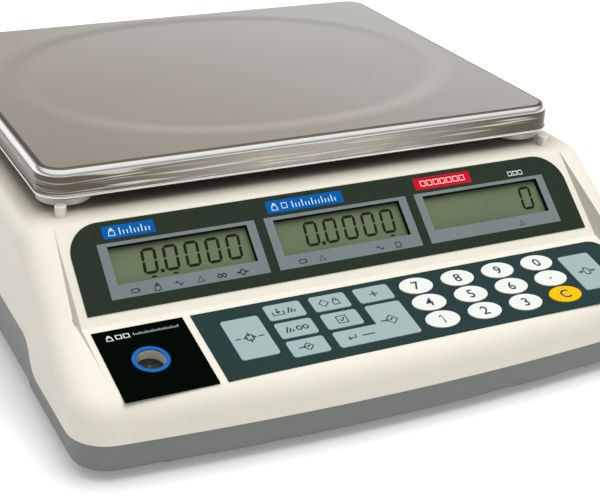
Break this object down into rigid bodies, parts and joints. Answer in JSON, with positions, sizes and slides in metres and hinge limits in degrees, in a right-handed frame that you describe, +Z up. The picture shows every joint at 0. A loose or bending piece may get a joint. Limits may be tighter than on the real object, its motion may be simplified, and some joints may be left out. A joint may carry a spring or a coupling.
{
  "type": "counting scale",
  "caption": "Bench counting scale: flat steel pan on a load cell, sloping display panel above a keypad, spirit level, levelling feet and rear power switch.",
  "frame": {"origin": "middle of the footprint, on the surface that the four feet stand on", "axes": "+X right, +Y back, +Z up, seen from the keypad side"},
  "size_m": [0.335, 0.3568, 0.109],
  "materials": {
    "stainless": "satin stainless, polished rim",
    "cream_plastic": "satin moulded ABS",
    "grey_plastic": "fine moulded texture",
    "dark_film": "printed film",
    "frame_plastic": "satin",
    "display_glass": "reflective display",
    "blue_plastic": "gloss",
    "black_plastic": "satin",
    "clear_window": "clear",
    "battery_case": "moulded case",
    "brass": "turned",
    "aluminium": "machined",
    "cast_alloy": "as cast",
    "zinc_steel": "zinc plated",
    "rubber": "matt",
    "board_green": "solder mask",
    "foot_plastic": "moulded",
    "white_key": "satin printed",
    "grey_key": "satin printed",
    "yellow_key": "satin printed"
  },
  "bodies": {
    "housing": {"base_housing": "grey_plastic", "battery": "battery_case", "battery_door": "grey_plastic", "chassis_plate": "zinc_steel", "cover_screws": "zinc_steel", "display_board": "board_green", "display_film": "dark_film", "display_frames": "frame_plastic", "foot_inserts": "brass", "keypad_board": "board_green", "keypad_film": "dark_film", "lcd_left": "display_glass", "lcd_middle": "display_glass", "lcd_right": "display_glass", "level_badge": "dark_film", "level_housing": "black_plastic", "level_ring": "blue_plastic", "level_window": "clear_window", "load_cell": "aluminium", "load_cell_bolts": "zinc_steel", "load_cell_riser": "aluminium", "main_board": "board_green", "plate_screws": "zinc_steel", "power_socket": "black_plastic", "small_screws": "zinc_steel", "switch_frame": "black_plastic", "top_cover": "cream_plastic"},
    "platform": {"platform_spacer": "aluminium", "platform_bolts": "zinc_steel", "pan_support": "cast_alloy", "support_cups": "cream_plastic", "pan_pads": "rubber"},
    "pan": {"weighing_pan": "stainless"},
    "key_0_cap": {"key_0": "white_key"},
    "key_1_cap": {"key_1": "white_key"},
    "key_2_cap": {"key_2": "white_key"},
    "key_3_cap": {"key_3": "white_key"},
    "key_4_cap": {"key_4": "white_key"},
    "key_5_cap": {"key_5": "white_key"},
    "key_6_cap": {"key_6": "white_key"},
    "key_7_cap": {"key_7": "white_key"},
    "key_8_cap": {"key_8": "white_key"},
    "key_9_cap": {"key_9": "white_key"},
    "key_calibrate_cap": {"key_calibrate": "grey_key"},
    "key_clear_cap": {"key_clear": "yellow_key"},
    "key_enter_cap": {"key_enter": "grey_key"},
    "key_memory_cap": {"key_memory": "grey_key"},
    "key_plus_cap": {"key_plus": "grey_key"},
    "key_point_cap": {"key_point": "white_key"},
    "key_preset_cap": {"key_preset": "grey_key"},
    "key_sample_cap": {"key_sample": "grey_key"},
    "key_tare_cap": {"key_tare": "grey_key"},
    "key_unit_cap": {"key_unit": "grey_key"},
    "key_zero_cap": {"key_zero": "grey_key"},
    "foot_front_left_leg": {"foot_front_left": "foot_plastic"},
    "foot_front_right_leg": {"foot_front_right": "foot_plastic"},
    "foot_rear_left_leg": {"foot_rear_left": "foot_plastic"},
    "foot_rear_right_leg": {"foot_rear_right": "foot_plastic"},
    "rocker": {"power_rocker": "black_plastic"}
  },
  "joints": [
    {"name": "platform_deflection", "type": "slide", "parent": "housing", "child": "platform", "axis": [0, 0, -1], "range_m": [0, 0.0003], "stiffness_N_per_m": 200000, "springref_m": -0.00006, "deforming": ["load_cell"]},
    {"name": "pan_lift_off", "type": "slide", "parent": "platform", "child": "pan", "axis": [0, 0, 1], "range_m": [0, 0.04]},
    {"name": "key_0_press", "type": "slide", "parent": "housing", "child": "key_0_cap", "axis": [0, 0.2002, -0.9798], "range_m": [0, 0.0004], "stiffness_N_per_m": 2500},
    {"name": "key_1_press", "type": "slide", "parent": "housing", "child": "key_1_cap", "axis": [0, 0.2002, -0.9798], "range_m": [0, 0.0004], "stiffness_N_per_m": 2500},
    {"name": "key_2_press", "type": "slide", "parent": "housing", "child": "key_2_cap", "axis": [0, 0.2002, -0.9798], "range_m": [0, 0.0004], "stiffness_N_per_m": 2500},
    {"name": "key_3_press", "type": "slide", "parent": "housing", "child": "key_3_cap", "axis": [0, 0.2002, -0.9798], "range_m": [0, 0.0004], "stiffness_N_per_m": 2500},
    {"name": "key_4_press", "type": "slide", "parent": "housing", "child": "key_4_cap", "axis": [0, 0.2002, -0.9798], "range_m": [0, 0.0004], "stiffness_N_per_m": 2500},
    {"name": "key_5_press", "type": "slide", "parent": "housing", "child": "key_5_cap", "axis": [0, 0.2002, -0.9798], "range_m": [0, 0.0004], "stiffness_N_per_m": 2500},
    {"name": "key_6_press", "type": "slide", "parent": "housing", "child": "key_6_cap", "axis": [0, 0.2002, -0.9798], "range_m": [0, 0.0004], "stiffness_N_per_m": 2500},
    {"name": "key_7_press", "type": "slide", "parent": "housing", "child": "key_7_cap", "axis": [0, 0.2002, -0.9798], "range_m": [0, 0.0004], "stiffness_N_per_m": 2500},
    {"name": "key_8_press", "type": "slide", "parent": "housing", "child": "key_8_cap", "axis": [0, 0.2002, -0.9798], "range_m": [0, 0.0004], "stiffness_N_per_m": 2500},
    {"name": "key_9_press", "type": "slide", "parent": "housing", "child": "key_9_cap", "axis": [0, 0.2002, -0.9798], "range_m": [0, 0.0004], "stiffness_N_per_m": 2500},
    {"name": "key_calibrate_press", "type": "slide", "parent": "housing", "child": "key_calibrate_cap", "axis": [0, 0.2002, -0.9798], "range_m": [0, 0.0004], "stiffness_N_per_m": 2500},
    {"name": "key_clear_press", "type": "slide", "parent": "housing", "child": "key_clear_cap", "axis": [0, 0.2002, -0.9798], "range_m": [0, 0.0004], "stiffness_N_per_m": 2500},
    {"name": "key_enter_press", "type": "slide", "parent": "housing", "child": "key_enter_cap", "axis": [0, 0.2002, -0.9798], "range_m": [0, 0.0004], "stiffness_N_per_m": 2500},
    {"name": "key_memory_press", "type": "slide", "parent": "housing", "child": "key_memory_cap", "axis": [0, 0.2002, -0.9798], "range_m": [0, 0.0004], "stiffness_N_per_m": 2500},
    {"name": "key_plus_press", "type": "slide", "parent": "housing", "child": "key_plus_cap", "axis": [0, 0.2002, -0.9798], "range_m": [0, 0.0004], "stiffness_N_per_m": 2500},
    {"name": "key_point_press", "type": "slide", "parent": "housing", "child": "key_point_cap", "axis": [0, 0.2002, -0.9798], "range_m": [0, 0.0004], "stiffness_N_per_m": 2500},
    {"name": "key_preset_press", "type": "slide", "parent": "housing", "child": "key_preset_cap", "axis": [0, 0.2002, -0.9798], "range_m": [0, 0.0004], "stiffness_N_per_m": 2500},
    {"name": "key_sample_press", "type": "slide", "parent": "housing", "child": "key_sample_cap", "axis": [0, 0.2002, -0.9798], "range_m": [0, 0.0004], "stiffness_N_per_m": 2500},
    {"name": "key_tare_press", "type": "slide", "parent": "housing", "child": "key_tare_cap", "axis": [0, 0.2002, -0.9798], "range_m": [0, 0.0004], "stiffness_N_per_m": 2500},
    {"name": "key_unit_press", "type": "slide", "parent": "housing", "child": "key_unit_cap", "axis": [0, 0.2002, -0.9798], "range_m": [0, 0.0004], "stiffness_N_per_m": 2500},
    {"name": "key_zero_press", "type": "slide", "parent": "housing", "child": "key_zero_cap", "axis": [0, 0.2002, -0.9798], "range_m": [0, 0.0004], "stiffness_N_per_m": 2500},
    {"name": "foot_front_left_height", "type": "slide", "parent": "housing", "child": "foot_front_left_leg", "axis": [0, 0, -1], "range_m": [-0.003, 0.006]},
    {"name": "foot_front_right_height", "type": "slide", "parent": "housing", "child": "foot_front_right_leg", "axis": [0, 0, -1], "range_m": [-0.003, 0.006]},
    {"name": "foot_rear_left_height", "type": "slide", "parent": "housing", "child": "foot_rear_left_leg", "axis": [0, 0, -1], "range_m": [-0.003, 0.006]},
    {"name": "foot_rear_right_height", "type": "slide", "parent": "housing", "child": "foot_rear_right_leg", "axis": [0, 0, -1], "range_m": [-0.003, 0.006]},
    {"name": "rocker_throw", "type": "hinge", "parent": "housing", "child": "rocker", "pos_m": [0.04, 0.1762, 0.0195], "axis": [-1, 0, 0], "range_deg": [0, 16]}
  ]
}
